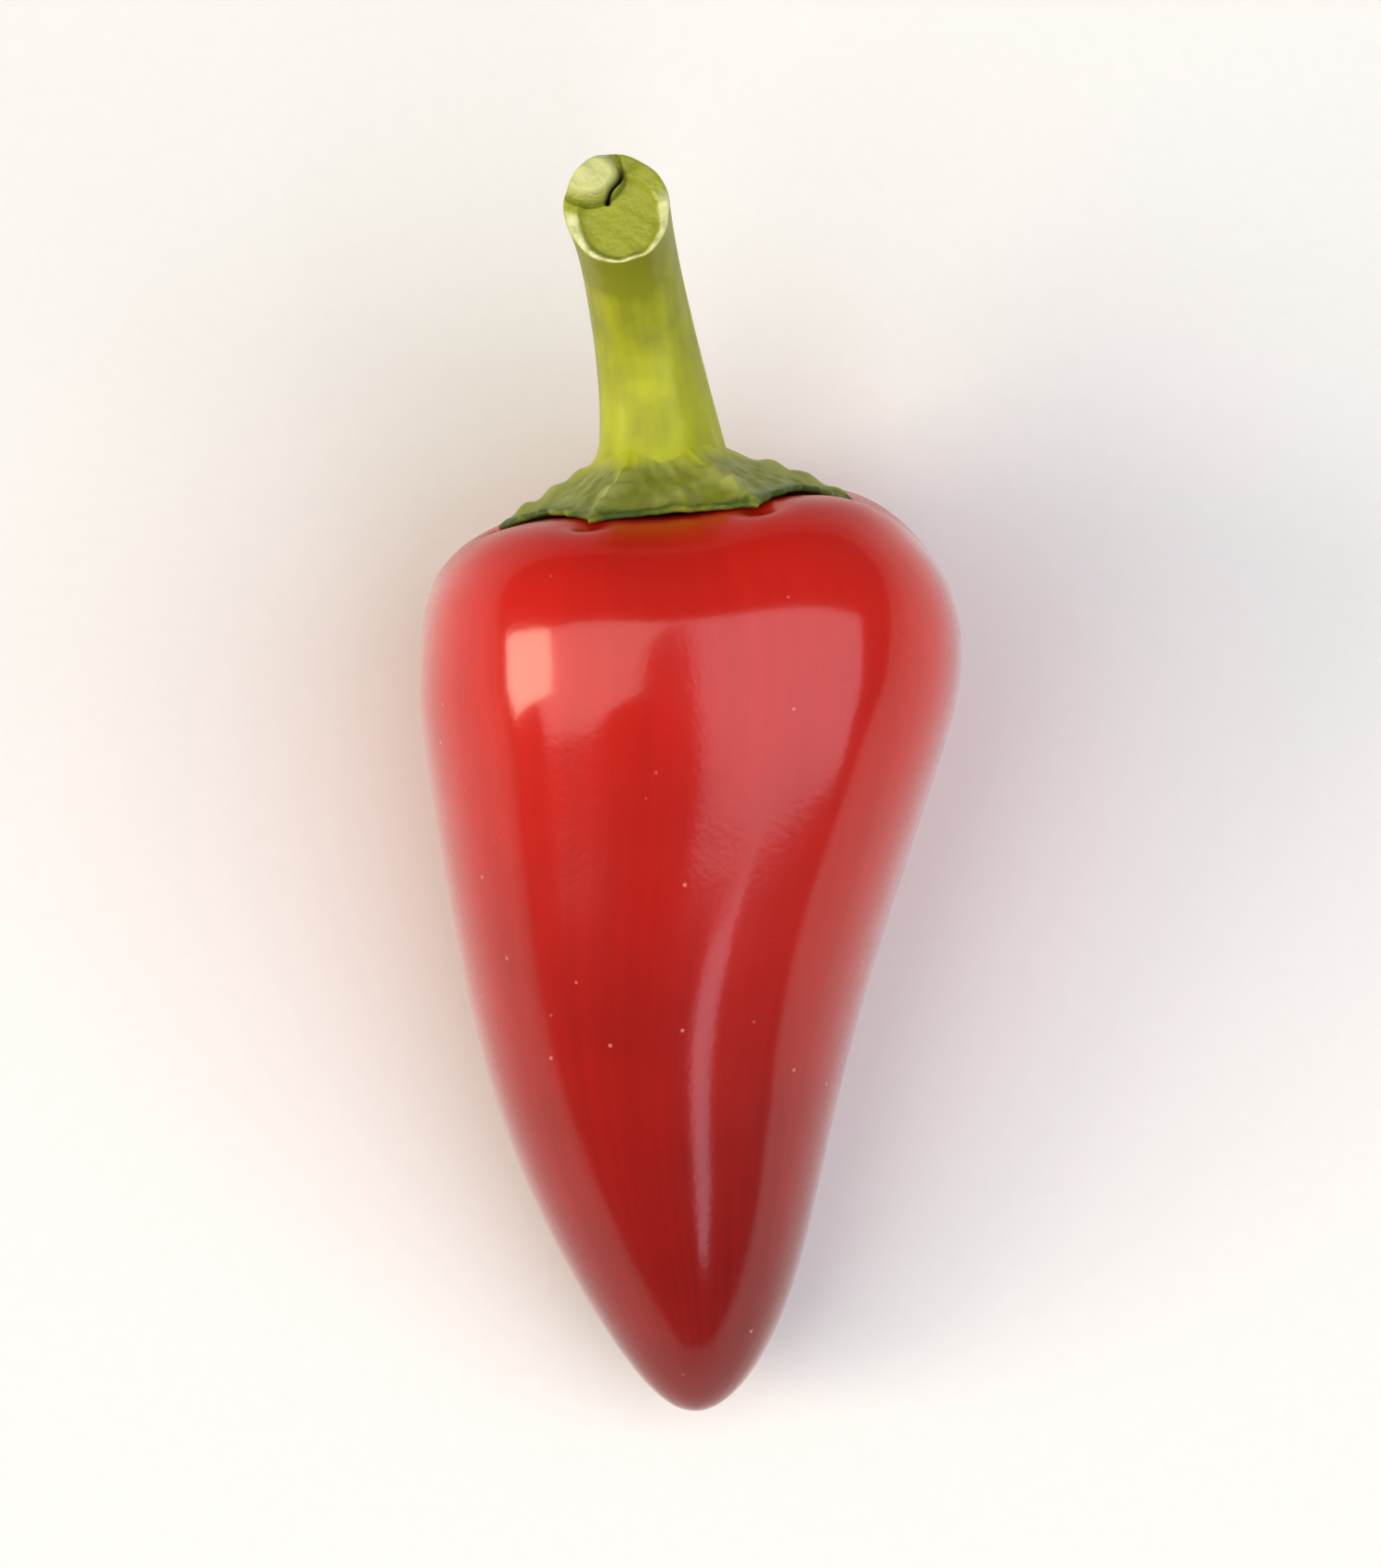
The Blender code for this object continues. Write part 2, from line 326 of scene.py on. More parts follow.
def pod_skin_points(sizes):
    """The pod's grid of points and its fields."""
    pod = sizes.pod
    angles = around(320)
    radius, depth = pod_profile(pod, 30, 70, 170)
    radius, depth = radius[:, None], depth[:, None]
    points = on_pod(radius, depth, angles, pod)
    along = depth / pod.length
    # The skin dips in a short groove under each tooth of the calyx
    seat = np.exp(-(((radius - sizes.calyx.width / 2 - 0.0002) / 0.0011) ** 2)) * (along < 0.1)
    groove = sum(nearness(angles, a, 0.095) for a in tooth_angles())
    points[..., 1] -= pod.groove * seat * groove
    fields = {
        "flow": flow(angles, depth, pod.width / 2),
        "along": along + 0 * angles,
        # Where painted shade darkens the skin: the furrows between the lobes, fading out below the crown
        "furrow_shade": smooth(0.5 - 0.5 * np.cos(4 * (angles - np.pi / 4))) * (1 - smooth(along * 1.4)),
    }
    return points, fields


# The calyx


def tooth_angles():
    """The directions of the six teeth round the crown, unevenly spaced as they grow."""
    return np.radians([2, 62, 118, 181, 239, 302])


def tooth_reach():
    """How much longer or shorter than the mean each tooth is, in metres."""
    return np.array([0.3, -0.2, -0.3, 0.2, 0.4, -0.1]) * 0.001


def between_teeth(angles):
    """For each angle: its place between two teeth, from 0 at one to 1 at the next, and the
    reach of the edge's circle there, which passes smoothly from one tooth to the next."""
    teeth = tooth_angles()
    turned = (angles - teeth[0]) % (2 * np.pi)
    starts = teeth - teeth[0]
    stops = np.append(starts[1:], 2 * np.pi)
    here = np.clip(np.searchsorted(starts, turned, side="right") - 1, 0, len(teeth) - 1)
    share = (turned - starts[here]) / (stops[here] - starts[here])
    reach = tooth_reach()
    ahead = np.roll(reach, -1)
    return share, reach[here] + (ahead[here] - reach[here]) * smooth(share)


def calyx_points(sizes):
    """The calyx's grid of points and its fields. It is worked out from the middle of the
    underside out to the rim, round it and up the top to the neck, and handed on the other way
    round, so that its faces look out. The top is a cone that sweeps up in a power curve, with a
    rib out to each tooth, a lesser one midway and puckers of sines between them. The edge falls
    away from each tooth in a power curve."""
    pod, calyx = sizes.pod, sizes.calyx
    angles = around(540)
    share, reach = between_teeth(angles)
    midway = 1 - np.abs(2 * share - 1)
    edge = calyx.width / 2 + reach - calyx.notch * midway**0.62
    edge = edge + calyx.ragged * (np.sin(31 * angles + 1) + 2 / 3 * np.sin(53 * angles))
    neck = calyx.neck / 2

    def row(inwards, rise):
        """Points at a share of the way in from the edge to the neck, and a height above the
        crown's skin."""
        radius = edge + (neck - edge) * inwards
        seat = on_pod(radius, crown_drop(radius, pod), angles, pod)
        slant = pod.slant
        up = np.array([-np.sin(slant), np.cos(slant), 0])
        return seat + rise[..., None] * up

    under = np.linspace(1, 0, 16)[:-1, None]
    lift = 0.00006 + calyx.lift * midway
    hang = lift - calyx.droop * (1 - midway) ** 3
    under_points = row(under, lift + (hang - lift) * (1 - under) ** 3)

    bend = np.linspace(-np.pi / 2, np.pi / 2, 9)[:, None]
    half = calyx.thickness / 2
    rim_rise = hang + half + half * np.sin(bend)
    rim_points = row(-half * np.cos(bend) / (edge - neck), rim_rise)

    inwards = np.linspace(0, 1, 90)[1:, None] ** 0.9
    teeth = tooth_angles()
    spread = 0.05 + 0.16 * inwards
    ribs = sum(nearness(angles, a, spread) for a in teeth)
    middles = teeth + (np.roll(teeth, -1) - teeth) % (2 * np.pi) / 2
    lesser = sum(nearness(angles, a, spread * 1.3) for a in middles)
    body = lift * (1 - inwards) + (hang - lift) * (1 - inwards) ** 3 + calyx.thickness
    cone = (calyx.height + calyx.tuck) * inwards**calyx.sweep + calyx.stand * inwards**16
    puckers = np.sin(13 * angles + 5 * inwards) + 0.875 * np.sin(29 * angles - 13 * inwards + 1)
    puckers = calyx.pucker * (puckers + 0.5 * np.sin(47 * angles + 21 * inwards))
    puckers = puckers * np.sin(np.pi * inwards) ** 0.7 * (1 - 0.7 * inwards)
    ribs_here = ribs * (1 + 0.3 * np.sin(24 * inwards + 5 * angles))
    swell = calyx.rib * (ribs_here + 0.3 * lesser - 0.45) * np.sin(np.pi * inwards**0.6) ** 0.8
    top_points = row(inwards, body + cone + swell + puckers)
    top_points[..., 0] -= calyx.lean * inwards**2 + calyx.crook * inwards**8

    points = np.concatenate([under_points, rim_points, top_points])
    top_from = len(under_points) + len(rim_points)
    outness = np.concatenate([1 - under, np.ones((len(bend), 1)), 1 - inwards])
    rib_field = np.zeros(points.shape[:2])
    rib_field[top_from:] = np.clip(ribs + 0.4 * lesser, 0, 1)
    fields = {"out": outness + 0 * angles, "rib": rib_field}
    return points[::-1], {name: values[::-1] for name, values in fields.items()}


# The stem


def stem_path(sizes, shares):
    """Middles, and the unit vectors across, ahead and over, along the stem's centre line. It
    leaves the crown along its axis, rises as the power 1.3 of the share of its length, and
    leans evenly on towards -X. A share below 0 runs straight back into the calyx."""
    pod, stem = sizes.pod, sizes.stem
    fine = np.linspace(0, 1, 400)

    def frame_at(share):
        share = np.clip(share, 0, 1)
        rise = stem.curl * share**1.3
        lean = pod.slant + stem.sway * share**0.6
        zero = 0 * share
        across = np.stack([np.cos(lean), np.sin(lean), zero], -1)
        ahead = np.stack([-np.sin(lean) * np.cos(rise), np.cos(lean) * np.cos(rise), np.sin(rise)], -1)
        return across, ahead, np.cross(across, ahead)

    steps = frame_at(fine)[1] * stem.length / (len(fine) - 1)
    walked = np.cumsum(steps, axis=0) - steps
    across, ahead, over = frame_at(shares)
    collar = sizes.calyx.height - pod.dimple * 0.4 + sizes.calyx.thickness
    start = np.array([-np.sin(pod.slant), np.cos(pod.slant), 0]) * collar
    start[0] -= pod.shift + sizes.calyx.lean
    middles = np.stack([np.interp(shares, fine, walked[:, k]) for k in range(3)], -1) + start
    middles = middles + ahead * (np.minimum(shares, 0) * stem.length)[..., None]
    return middles, across, ahead, over


def stem_radius(share, stem):
    """A foot that narrows to the waist as a power of the share left, and a flare at the cut."""
    left = np.clip(1 - share, 0, 1.2)
    foot = (stem.foot - stem.width) / 2 * left**3.5
    flare = (stem.end - stem.width) / 2 * np.clip(share, 0, 1) ** 5
    return stem.width / 2 + foot + flare


def stem_points(sizes):
    """The stem's grid of points, its fields, and the zone of each row: rind or cut pith. The
    side is a tube with soft ridges that fade towards the cut. The cut is a rounded lip round
    a sunken disc of pith. A flap of rind is folded over one side of it: an elliptical dome with
    a crease at its foot, and a split beside it that runs in from the lip and curls under it."""
    stem = sizes.stem
    angles = around(240)
    shares = np.linspace(-0.07, 1, 170)
    s = shares[:, None]
    # The cut is oblique: the side nearer the crown ends sooner
    slanted = s - stem.oblique / stem.length * (1 + np.sin(angles)) / 2 * smooth((s - 0.5) * 2)
    middles, across, _, over = stem_path(sizes, slanted)
    ridges = np.cos(5 * angles + 0.5 + 0.9 * s) + 0.35 * np.cos(11 * angles - 1.2 * s + 1)
    ridges = ridges + 0.25 * np.sin(3 * angles + 9 * s)
    radius = stem_radius(s, stem) + stem.ridge * ridges * (1 - 0.45 * smooth(s))
    circle = np.cos(angles)[:, None] * across + np.sin(angles)[:, None] * over
    side = middles + radius[..., None] * circle

    # u runs across the cut to the right and w up it, each from -1 to 1
    inwards = np.concatenate([np.linspace(0, 0.12, 9)[1:], np.linspace(0.12, 0.985, 70)[1:]])
    inwards = inwards[:, None]
    out = 1 - inwards
    u, w = out * np.cos(angles), -out * np.sin(angles)
    lip = np.sqrt(1 - (1 - np.minimum(inwards / 0.08, 1)) ** 2)
    beads = 0.3 * np.sin(9 * angles + 1) + 0.25 * np.sin(14 * angles)
    beads = 1 + beads * (1 - smooth(inwards / 0.35))
    pith = smooth((0.82 - np.hypot(u, w + 0.18)) / 0.15)
    fold = np.hypot((u + 0.34) / 0.56, (w - 0.64) / 0.42)
    flap = smooth((1.10 - fold) / 0.45)
    crease = np.exp(-(((fold - 1.10) / 0.09) ** 2)) * smooth((0.75 - w) / 0.3)
    split = 0.22 - 0.36 * smooth((0.62 - w) / 0.42)
    crack = np.exp(-(((u - split) / 0.045) ** 2)) * smooth((w - 0.10) / 0.12)
    crack = crack * (1 - 0.7 * smooth((w - 0.5) / 0.25))
    lumps = np.sin(9 * u + 1) * np.cos(8 * w) + 0.5 * np.sin(17 * u) * np.sin(19 * w + 2)
    rise = stem.lip * lip * beads - stem.sunk * pith * (1 - flap) + stem.flap * flap
    rise = rise - stem.split * crack - stem.crease * crease
    rise = rise + 0.00004 * lumps * smooth(inwards / 0.2)
    edge = side[-1]
    centre = edge.mean(axis=0)
    facing = np.cross(edge[len(edge) // 4] - centre, edge[0] - centre)
    cap = centre + facing / np.linalg.norm(facing) * rise[..., None] + out[..., None] * (edge - centre)

    points = np.concatenate([side, cap])
    on_side = np.zeros(side.shape[:2])
    run = np.concatenate([s * stem.length, stem.length + inwards * stem.end / 2])
    fields = {
        "flow": flow(angles, run, stem.width / 2),
        "run": run + 0 * angles,
        # Painted shade in the furrows between the ridges
        "furrow_shade": np.concatenate([0.5 - 0.3 * ridges, np.full(cap.shape[:2], 0.5)]),
        # Painted shade in the split and in the crease below the flap
        "dark": np.concatenate([on_side, np.maximum(crack * (w < 0.75), 0.4 * crease)]),
        "pale": np.concatenate([on_side, (1 - pith) * smooth((0.45 - w) / 0.6)]),
        "flap": np.concatenate([on_side, flap]),
    }
    fields = {name: values[::-1] for name, values in fields.items()}
    zones = np.concatenate([np.zeros(len(side), int), np.ones(len(cap), int)])
    return points[::-1], fields, zones[::-1]


# Materials


def node(tree, kind, inputs=None, **settings):
    """Adds a node with its settings, and sets or links each of the inputs given."""
    added = tree.nodes.new(kind)
    for name, value in settings.items():
        setattr(added, name, value)
    for key, value in (inputs or {}).items():
        if isinstance(value, bpy.types.NodeSocket):
            tree.links.new(value, added.inputs[key])
        else:
            added.inputs[key].default_value = value
    return added


def new_material(name):
    """An empty material, its node tree and its output node."""
    material = bpy.data.materials.new(name)
    material.use_nodes = True
    material.node_tree.nodes.clear()
    output = node(material.node_tree, "ShaderNodeOutputMaterial")
    return material, material.node_tree, output


def waxy_pod_skin(pod):
    """Ripe pepper skin, grown: a thin clear cuticle of wax over red flesh. The wax gives sharp,
    bright reflections. The flesh under it lets a little light through, which keeps the shaded
    side warm, and shows faint streaks along the pod and tiny pale specks."""
    material, tree, output = new_material("waxy_pod_skin")
    along_growth = node(tree, "ShaderNodeAttribute", attribute_name="flow").outputs["Vector"]
    along = node(tree, "ShaderNodeAttribute", attribute_name="along").outputs["Fac"]
    furrow_shade = node(tree, "ShaderNodeAttribute", attribute_name="furrow_shade").outputs["Fac"]
    place = node(tree, "ShaderNodeTexCoord").outputs["Object"]

    # Blotches about 12 mm across, where one side has ripened further
    blotch = node(tree, "ShaderNodeTexNoise", {"Vector": place, "Scale": 85, "Detail": 2})
    # Streaks about 1 mm wide and 20 mm long, which follow the veins of the wall
    stretched = node(tree, "ShaderNodeMapping", {"Vector": along_growth, "Scale": (1, 1, 0.05)})
    streak = node(
        tree, "ShaderNodeTexNoise", {"Vector": stretched.outputs[0], "Scale": 900, "Detail": 3}
    )
    # Painted shade: the red darkens towards the tip and in the furrows; the blotches and streaks are the
    # skin's own colour
    shade_towards_tip = node(
        tree, "ShaderNodeMapRange", {"Value": along, "From Max": 0.95, "To Min": -0.2, "To Max": 0.95}
    )
    depth = shade_towards_tip.outputs[0]
    for pattern, share in ((blotch.outputs[0], 0.5), (furrow_shade, 0.22), (streak.outputs[0], 0.25)):
        depth = node(
            tree, "ShaderNodeMath", {0: pattern, 1: share, 2: depth}, operation="MULTIPLY_ADD"
        ).outputs[0]
    deep = node(tree, "ShaderNodeMapRange", {"Value": depth, "From Min": 0.3, "From Max": 1.3})
    red = node(
        tree,
        "ShaderNodeMix",
        {0: deep.outputs[0], MIX_A: tuple(pod.skin), MIX_B: tuple(pod.skin_deep_and_shaded)},
        data_type="RGBA",
    )
    # Specks 0.25 mm across, about 2 mm apart, in one cell of three
    cells = node(tree, "ShaderNodeTexVoronoi", {"Vector": place, "Scale": 480})
    dot = node(
        tree,
        "ShaderNodeMapRange",
        {"Value": cells.outputs["Distance"], "From Min": 0.075, "From Max": 0.03},
    )
    chosen = node(tree, "ShaderNodeSeparateColor", {0: cells.outputs["Color"]})
    chosen = node(tree, "ShaderNodeMath", {0: chosen.outputs[0], 1: 0.66}, operation="GREATER_THAN")
    speck = node(tree, "ShaderNodeMath", {0: dot.outputs[0], 1: chosen.outputs[0]}, operation="MULTIPLY")
    speck = node(tree, "ShaderNodeMath", {0: speck.outputs[0], 1: 0.65}, operation="MULTIPLY")
    skin = node(
        tree,
        "ShaderNodeMix",
        {0: speck.outputs[0], MIX_A: red.outputs[MIX_RESULT], MIX_B: tuple(pod.speck)},
        data_type="RGBA",
    )

    # The wax is a little uneven: smears a few millimetres across
    smear = node(tree, "ShaderNodeTexNoise", {"Vector": place, "Scale": 260, "Detail": 4})
    dull = node(tree, "ShaderNodeMapRange", {"Value": smear.outputs[0], "To Min": 0.16, "To Max": 0.34})

    # The wax is thin on the crown and reaches its full gloss 3 mm below the crest
    wax = node(
        tree, "ShaderNodeMapRange", {"Value": along, "From Min": 0.02, "From Max": 0.06, "To Min": 0.15}
    )

    # The skin's cells, drawn 0.4 mm wide, under broader ripples of the wall
    grain = node(tree, "ShaderNodeTexNoise", {"Vector": place, "Scale": 2500, "Detail": 2})
    ripple = node(tree, "ShaderNodeTexNoise", {"Vector": along_growth, "Scale": 160, "Detail": 1})
    fine = node(
        tree, "ShaderNodeBump", {"Strength": 0.25, "Distance": 0.00002, "Height": grain.outputs[0]}
    )
    surface = node(
        tree,
        "ShaderNodeBump",
        {"Strength": 0.3, "Distance": 0.00012, "Height": ripple.outputs[0], "Normal": fine.outputs[0]},
    )
    shader = node(
        tree,
        "ShaderNodeBsdfPrincipled",
        {
            "Base Color": skin.outputs[MIX_RESULT],
            "Roughness": dull.outputs[0],
            "Specular IOR Level": 0.15,
            "Coat Weight": wax.outputs[0],
            "Coat Roughness": 0.12,
            "Coat IOR": 1.52,
            "Subsurface Weight": 0.05,
            "Subsurface Radius": (1.0, 0.15, 0.08),
            "Subsurface Scale": 0.0015,
            "Normal": surface.outputs[0],
            "Coat Normal": surface.outputs[0],
        },
    )
    tree.links.new(shader.outputs[0], output.inputs[0])
    return material


def calyx_leaf(calyx, stem):
    """The calyx, a leathery leaf: satin and softly folded, dark green in the hollows between
    its ribs and paler on the ribs, with painted shade darkening the rim. At the neck it takes on the
    stem's yellow-green, furthest down along the ribs."""
    material, tree, output = new_material("leathery_calyx_leaf")
    out = node(tree, "ShaderNodeAttribute", attribute_name="out").outputs["Fac"]
    rib = node(tree, "ShaderNodeAttribute", attribute_name="rib").outputs["Fac"]
    place = node(tree, "ShaderNodeTexCoord").outputs["Object"]

    # Cloudy patches about 2 mm across, which break up every edge between two colours
    cloud = node(tree, "ShaderNodeTexNoise", {"Vector": place, "Scale": 560, "Detail": 5}).outputs[0]
    # Painted shade: the leaf loses its paleness over the outermost part of the rim
    rim = node(
        tree, "ShaderNodeMapRange", {"Value": out, "From Min": 0.93, "From Max": 1.0, "To Max": -0.5}
    ).outputs[0]
    pale = node(tree, "ShaderNodeMath", {0: rib, 1: 0.75, 2: rim}, operation="MULTIPLY_ADD").outputs[0]
    pale = node(tree, "ShaderNodeMath", {0: cloud, 1: 2.0, 2: pale}, operation="MULTIPLY_ADD").outputs[0]
    light = node(
        tree, "ShaderNodeMapRange", {"Value": pale, "From Min": 0.85, "From Max": 2.1}
    ).outputs[0]
    green = node(
        tree,
        "ShaderNodeMix",
        {0: light, MIX_A: tuple(calyx.leaf), MIX_B: tuple(calyx.leaf_light)},
        data_type="RGBA",
    ).outputs[MIX_RESULT]
    neck = node(tree, "ShaderNodeMath", {0: rib, 1: -0.16, 2: out}, operation="MULTIPLY_ADD").outputs[0]
    neck = node(
        tree, "ShaderNodeMath", {0: cloud, 1: 0.45, 2: neck}, operation="MULTIPLY_ADD"
    ).outputs[0]
    neck = node(
        tree, "ShaderNodeMapRange", {"Value": neck, "From Min": 0.46, "From Max": 0.24}
    ).outputs[0]
    leaf = node(
        tree,
        "ShaderNodeMix",
        {0: neck, MIX_A: green, MIX_B: tuple(stem.rind)},
        data_type="RGBA",
    ).outputs[MIX_RESULT]
    # Painted shade: the rim is painted dark in patches, over the last millimetre
    rim_shade_band = node(tree, "ShaderNodeMapRange", {"Value": out, "From Min": 0.86, "From Max": 0.97})
    patchy = node(tree, "ShaderNodeMapRange", {"Value": cloud, "From Min": 0.36, "From Max": 0.52})
    dark = node(
        tree, "ShaderNodeMath", {0: rim_shade_band.outputs[0], 1: patchy.outputs[0]}, operation="MULTIPLY"
    ).outputs[0]
    leaf = node(
        tree,
        "ShaderNodeMix",
        {0: dark, MIX_A: leaf, MIX_B: tuple(calyx.rim)},
        data_type="RGBA",
    ).outputs[MIX_RESULT]
    surface = node(tree, "ShaderNodeBump", {"Strength": 0.35, "Distance": 0.0002, "Height": cloud})
    shader = node(
        tree,
        "ShaderNodeBsdfPrincipled",
        {
            "Base Color": leaf,
            "Roughness": 0.46,
            "Specular IOR Level": 0.4,
            "Subsurface Weight": 0.06,
            "Subsurface Radius": (0.9, 1.0, 0.3),
            "Subsurface Scale": 0.0006,
            "Normal": surface.outputs[0],
        },
    )
    tree.links.new(shader.outputs[0], output.inputs[0])
    return material


def stem_rind(stem):
    """The stem's rind, fresh and satin, with soft mottling and fine lengthwise fibres. Painted shade
    colours it yellow-green where it swells at the foot, and more olive in the furrows and towards the
    cut."""
    material, tree, output = new_material("satin_stem_rind")
    along_growth = node(tree, "ShaderNodeAttribute", attribute_name="flow").outputs["Vector"]
    furrow_shade = node(tree, "ShaderNodeAttribute", attribute_name="furrow_shade").outputs["Fac"]
    run = node(tree, "ShaderNodeAttribute", attribute_name="run").outputs["Fac"]
    place = node(tree, "ShaderNodeTexCoord").outputs["Object"]

    # Fibres 0.5 mm wide and 4 mm long
    stretched = node(tree, "ShaderNodeMapping", {"Vector": along_growth, "Scale": (1, 1, 0.12)})
    fibre = node(
        tree, "ShaderNodeTexNoise", {"Vector": stretched.outputs[0], "Scale": 1900, "Detail": 2}
    ).outputs[0]
    # Mottling about 2.5 mm across
    cloud = node(tree, "ShaderNodeTexNoise", {"Vector": place, "Scale": 400, "Detail": 3}).outputs[0]
    # Painted shade: the rind is painted lighter at the foot and darker towards the cut, and darker in
    # the furrows
    shade_towards_cut = node(
        tree,
        "ShaderNodeMapRange",
        {"Value": run, "From Min": 0.003, "From Max": stem.length * 0.95, "To Min": -0.9, "To Max": 0.0},
    ).outputs[0]
    depth = shade_towards_cut
    for pattern, share in ((furrow_shade, 0.35), (fibre, 0.45)):
        depth = node(
            tree, "ShaderNodeMath", {0: pattern, 1: share, 2: depth}, operation="MULTIPLY_ADD"
        ).outputs[0]
    depth = node(
        tree, "ShaderNodeMath", {0: cloud, 1: 1.5, 2: depth}, operation="MULTIPLY_ADD", use_clamp=True
    ).outputs[0]
    rind = node(
        tree,
        "ShaderNodeMix",
        {0: depth, MIX_A: tuple(stem.rind), MIX_B: tuple(stem.rind_deep_and_shaded)},
        data_type="RGBA",
    ).outputs[MIX_RESULT]
    surface = node(tree, "ShaderNodeBump", {"Strength": 0.3, "Distance": 0.0001, "Height": fibre})
    shader = node(
        tree,
        "ShaderNodeBsdfPrincipled",
        {
            "Base Color": rind,
            "Roughness": 0.42,
            "Specular IOR Level": 0.35,
            "Subsurface Weight": 0.12,
            "Subsurface Radius": (0.9, 1.0, 0.2),
            "Subsurface Scale": 0.0008,
            "Normal": surface.outputs[0],
        },
    )
    tree.links.new(shader.outputs[0], output.inputs[0])
    return material


def cut_pith(stem):
    """The cut end, fresh and moist: an olive disc of pith with beads of pale wet fibres along
    its lower edge, a dull pale flap of rind, and painted shade: near-black in the split and fainter in
    the crease below the flap."""
    material, tree, output = new_material("moist_cut_pith")
    pale = node(tree, "ShaderNodeAttribute", attribute_name="pale").outputs["Fac"]
    flap = node(tree, "ShaderNodeAttribute", attribute_name="flap").outputs["Fac"]
    dark = node(tree, "ShaderNodeAttribute", attribute_name="dark").outputs["Fac"]
    place = node(tree, "ShaderNodeTexCoord").outputs["Object"]

    # Beads of moisture and fibre about 0.8 mm across, and the sponge of the pith at 0.3 mm
    beads = node(tree, "ShaderNodeTexNoise", {"Vector": place, "Scale": 1300, "Detail": 2}).outputs[0]
    sponge = node(tree, "ShaderNodeTexNoise", {"Vector": place, "Scale": 3200, "Detail": 3}).outputs[0]
    ring = node(tree, "ShaderNodeMath", {0: beads, 1: 1.4, 2: pale}, operation="MULTIPLY_ADD").outputs[0]
    ring = node(
        tree, "ShaderNodeMath", {0: sponge, 1: 0.4, 2: ring}, operation="MULTIPLY_ADD"
    ).outputs[0]
    wet = node(tree, "ShaderNodeMapRange", {"Value": ring, "From Min": 1.3, "From Max": 2.1}).outputs[0]
    tone = node(
        tree,
        "ShaderNodeMix",
        {0: wet, MIX_A: tuple(stem.pith), MIX_B: tuple(stem.fibre)},
        data_type="RGBA",
    ).outputs[MIX_RESULT]
    tone = node(
        tree,
        "ShaderNodeMix",
        {0: flap, MIX_A: tone, MIX_B: tuple(stem.flap_rind)},
        data_type="RGBA",
    ).outputs[MIX_RESULT]
    # Painted shade: the split and the crease are painted near-black
    split_shaded = node(
        tree,
        "ShaderNodeMix",
        {0: dark, MIX_A: tone, MIX_B: tuple(stem.dark)},
        data_type="RGBA",
    ).outputs[MIX_RESULT]
    surface = node(tree, "ShaderNodeBump", {"Strength": 0.6, "Distance": 0.0002, "Height": sponge})
    shader = node(
        tree,
        "ShaderNodeBsdfPrincipled",
        {
            "Base Color": split_shaded,
            "Roughness": 0.32,
            "IOR": 1.38,
            "Subsurface Weight": 0.15,
            "Subsurface Radius": (0.9, 1.0, 0.4),
            "Subsurface Scale": 0.0006,
            "Normal": surface.outputs[0],
        },
    )
    tree.links.new(shader.outputs[0], output.inputs[0])
    return material


def studio_paper(stage):
    """A roll of heavy uncoated paper, pressed: matt, with a fibre grain that barely shows."""
    material, tree, output = new_material("uncoated_paper")
    place = node(tree, "ShaderNodeTexCoord").outputs["Object"]
    grain = node(tree, "ShaderNodeTexNoise", {"Vector": place, "Scale": 900, "Detail": 3})
    tint = node(
        tree, "ShaderNodeMapRange", {"Value": grain.outputs[0], "To Min": 0.985, "To Max": 1.015}
    )
    shade = node(
        tree,
        "ShaderNodeVectorMath",
        {0: tuple(stage.paper)[:3], "Scale": tint.outputs[0]},
        operation="SCALE",
    )
    surface = node(
        tree, "ShaderNodeBump", {"Strength": 0.2, "Distance": 0.00005, "Height": grain.outputs[0]}
    )
    shader = node(
        tree,
        "ShaderNodeBsdfPrincipled",
        {
            "Base Color": shade.outputs[0],
            "Roughness": 0.85,
            "Specular IOR Level": 0.2,
            "Normal": surface.outputs[0],
        },
    )
    tree.links.new(shader.outputs[0], output.inputs[0])
    return material


# Operators


class CHILLI_OT_pod(bpy.types.Operator):
    """Build the pod: a lobed, tapering fruit with a dimpled crown."""

    bl_idname = "chilli.pod"
    bl_label = "Build Pod"

    def execute(self, context):
        sizes = context.scene.chilli
        points, fields = pod_skin_points(sizes)
        points = lie_down(points, sizes)
        # The belly is pressed level where it bears on the floor
        points[..., 2] = np.maximum(points[..., 2], sizes.pod.pressed)
        made = skinned("chilli_pod", points, fields, [waxy_pod_skin(sizes.pod)])
        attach(made, "root")
        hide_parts("pod")
        return {"FINISHED"}


class CHILLI_OT_calyx(bpy.types.Operator):
    """Build the calyx: a ribbed green cap with six teeth."""

    bl_idname = "chilli.calyx"
    bl_label = "Build Calyx"

    def execute(self, context):
        sizes = context.scene.chilli
        points, fields = calyx_points(sizes)
        leaf = calyx_leaf(sizes.calyx, sizes.stem)
        made = skinned("chilli_calyx", lie_down(points, sizes), fields, [leaf])
        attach(made, "root")
        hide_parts("calyx")
        return {"FINISHED"}


class CHILLI_OT_stem(bpy.types.Operator):
    """Build the stem: a ridged stalk that curls up to its cut end."""

    bl_idname = "chilli.stem"
    bl_label = "Build Stem"

    def execute(self, context):
        sizes = context.scene.chilli
        points, fields, zones = stem_points(sizes)
        skins = [stem_rind(sizes.stem), cut_pith(sizes.stem)]
        made = skinned("chilli_stem", lie_down(points, sizes), fields, skins, zones)
        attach(made, "root")
        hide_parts("stem")
        return {"FINISHED"}


